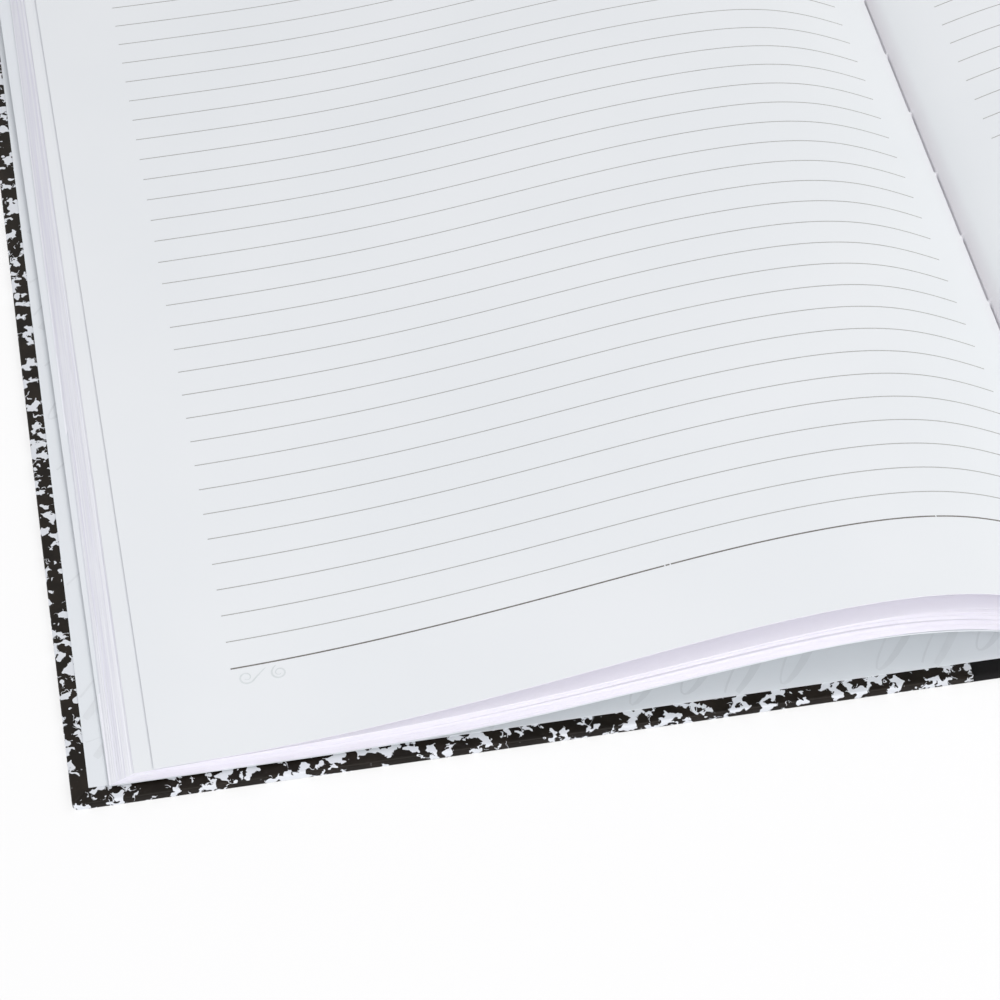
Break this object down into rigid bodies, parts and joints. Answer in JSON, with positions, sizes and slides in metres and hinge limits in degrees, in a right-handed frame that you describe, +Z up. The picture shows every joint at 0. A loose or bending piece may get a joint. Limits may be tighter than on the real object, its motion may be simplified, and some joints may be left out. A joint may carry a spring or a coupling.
{
  "type": "composition notebook",
  "caption": "Hard-cover composition notebook lying open at its centre fold, with arched ruled leaves, marbled boards and a black cloth spine.",
  "frame": {"origin": "under the middle of the spine, on the surface that the open notebook lies on", "axes": "+X runs across both pages towards the back cover, +Y along the spine towards the head, +Z up"},
  "size_m": [0.3952, 0.253, 0.025],
  "materials": {
    "leaves": "matt uncoated writing paper",
    "thread": "pale bookbinding thread",
    "lining": "brown kraft paper",
    "greyboard": "raw grey board",
    "book_cloth": "fine black book cloth",
    "endpaper": "matt paper with a faint tone-on-tone pattern",
    "marbled_paper": "black and white marbled cover paper, slightly glossy"
  },
  "bodies": {
    "block": {"pages": "leaves", "sewing_thread": "thread", "spine_lining": "lining", "spine_strip": "greyboard", "spine_cloth": "book_cloth", "front_flyleaf": "endpaper", "back_flyleaf": "endpaper"},
    "front_cover": {"front_board": "greyboard", "front_cover_paper": "marbled_paper", "front_cover_cloth": "book_cloth", "front_pastedown": "endpaper"},
    "back_cover": {"back_board": "greyboard", "back_cover_paper": "marbled_paper", "back_cover_cloth": "book_cloth", "back_pastedown": "endpaper"}
  },
  "joints": [
    {"name": "front_cover_hinge", "type": "hinge", "parent": "block", "child": "front_cover", "pos_m": [-0.00825, 0, 0.0001], "axis": [0, -1, 0], "range_deg": [0, 90]},
    {"name": "back_cover_hinge", "type": "hinge", "parent": "block", "child": "back_cover", "pos_m": [0.00825, 0, 0.0001], "axis": [0, 1, 0], "range_deg": [0, 90]}
  ]
}
